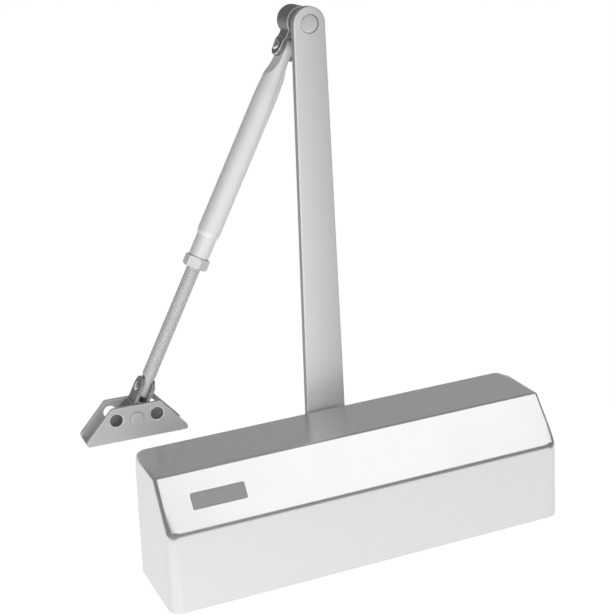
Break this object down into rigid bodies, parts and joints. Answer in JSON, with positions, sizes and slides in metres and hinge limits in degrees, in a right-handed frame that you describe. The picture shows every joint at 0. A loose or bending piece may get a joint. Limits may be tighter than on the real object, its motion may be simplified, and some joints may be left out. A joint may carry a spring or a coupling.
{
  "type": "door closer",
  "caption": "Surface-mounted hydraulic door closer: bevelled box cover over a rack-and-pinion body, flat main arm, telescopic threaded forearm and channel shoe.",
  "frame": {"origin": "on the mounting face, under the pinion axis", "axes": "+Z away from the door leaf, X along the cover from the spring end to the valve end, +Y along the pinion towards the arm"},
  "size_m": [0.3078, 0.1127, 0.3585],
  "materials": {
    "silver_paint": "satin silver paint",
    "zinc": "zinc plated",
    "steel": "ground steel",
    "cast": "die cast",
    "iron": "as cast, painted silver-grey",
    "spring_steel": "oil tempered",
    "rubber": "matt",
    "bronze": "turned",
    "badge": "matt grey"
  },
  "bodies": {
    "closer_body": {"housing": "cast", "cover": "silver_paint", "badge_plate": "badge", "cover_screw_spring": "zinc", "cover_screw_valve": "zinc", "end_plug_spring": "steel", "end_plug_valve": "steel", "plug_seal_spring": "rubber", "plug_seal_valve": "rubber", "bearing_arm_side": "bronze", "bearing_blank_side": "bronze", "seal_nut": "zinc", "shaft_seal": "rubber", "bottom_nut": "zinc", "main_spring": "spring_steel"},
    "arm": {"pinion": "steel", "main_arm": "silver_paint", "arm_washer": "zinc", "arm_screw": "zinc", "elbow_rivet": "zinc", "elbow_washer": "zinc"},
    "piston_body": {"piston": "steel", "check_valve": "bronze"},
    "elbow_knuckle": {"knuckle": "iron"},
    "forearm": {"forearm_tube": "silver_paint", "elbow_cross_pin": "zinc"},
    "rod": {"threaded_rod": "zinc", "rod_pin": "zinc"},
    "nut": {"lock_nut": "zinc"},
    "swivel": {"shoe_swivel": "silver_paint"},
    "shoe": {"shoe_bracket": "silver_paint", "shoe_rivet": "zinc"},
    "sweep_screw": {"valve_sweep": "bronze"},
    "latch_screw": {"valve_latch": "bronze"},
    "backcheck_screw": {"valve_backcheck": "bronze"},
    "adjuster": {"spring_adjuster": "zinc"},
    "seat": {"spring_seat": "steel"}
  },
  "joints": [
    {"name": "arm_swing", "type": "hinge", "parent": "closer_body", "child": "arm", "pos_m": [0, 0, 0.035], "axis": [0, 1, 0], "range_deg": [0, 170], "stiffness_Nm_per_rad": 4, "springref_deg": -143.24},
    {"name": "piston_slide", "type": "slide", "parent": "closer_body", "child": "piston_body", "axis": [-1, 0, 0], "range_m": [0, 0.0357], "deforming": ["main_spring"]},
    {"name": "elbow", "type": "hinge", "parent": "arm", "child": "elbow_knuckle", "pos_m": [0.00393, 0.062, 0.34758], "axis": [0, 1, 0], "range_deg": [-25, 150]},
    {"name": "forearm_tilt", "type": "hinge", "parent": "elbow_knuckle", "child": "forearm", "pos_m": [-0.00539, 0.062, 0.33056], "axis": [-0.8771, 0, 0.4802], "range_deg": [-15, 6]},
    {"name": "rod_slide", "type": "slide", "parent": "forearm", "child": "rod", "axis": [-0.4802, 0, -0.8771], "range_m": [-0.045, 0.045]},
    {"name": "lock_nut_turn", "type": "hinge", "parent": "forearm", "child": "nut", "pos_m": [-0.07824, 0.062, 0.1975], "axis": [-0.4802, 0, -0.8771], "continuous": true},
    {"name": "shoe_swivel_tilt", "type": "hinge", "parent": "rod", "child": "swivel", "pos_m": [-0.12247, 0.062, 0.11671], "axis": [0.8771, 0, -0.4802], "range_deg": [-35, 35]},
    {"name": "shoe_turn", "type": "hinge", "parent": "swivel", "child": "shoe", "pos_m": [-0.13159, 0.062, 0.10004], "axis": [0, 1, 0], "range_deg": [-45, 100]},
    {"name": "sweep_adjust", "type": "hinge", "parent": "closer_body", "child": "sweep_screw", "pos_m": [0.056, 0, 0.066], "axis": [0, 0, 1], "range_deg": [-180, 360]},
    {"name": "latch_adjust", "type": "hinge", "parent": "closer_body", "child": "latch_screw", "pos_m": [0.078, 0, 0.066], "axis": [0, 0, 1], "range_deg": [-180, 360]},
    {"name": "backcheck_adjust", "type": "hinge", "parent": "closer_body", "child": "backcheck_screw", "pos_m": [-0.062, 0, 0.066], "axis": [0, 0, 1], "range_deg": [-180, 360]},
    {"name": "spring_adjust", "type": "hinge", "parent": "closer_body", "child": "adjuster", "pos_m": [-0.132, 0, 0.035], "axis": [1, 0, 0], "range_deg": [0, 1800]},
    {"name": "spring_seat_slide", "type": "slide", "parent": "closer_body", "child": "seat", "axis": [1, 0, 0], "range_m": [0, 0.0076], "deforming": ["main_spring"]}
  ],
  "couplings": [
    {"joint": "piston_slide", "follows": "arm_swing", "m_per_rad": 0.012},
    {"joint": "spring_adjust", "follows": "spring_seat_slide", "rad_per_m": 4133}
  ]
}
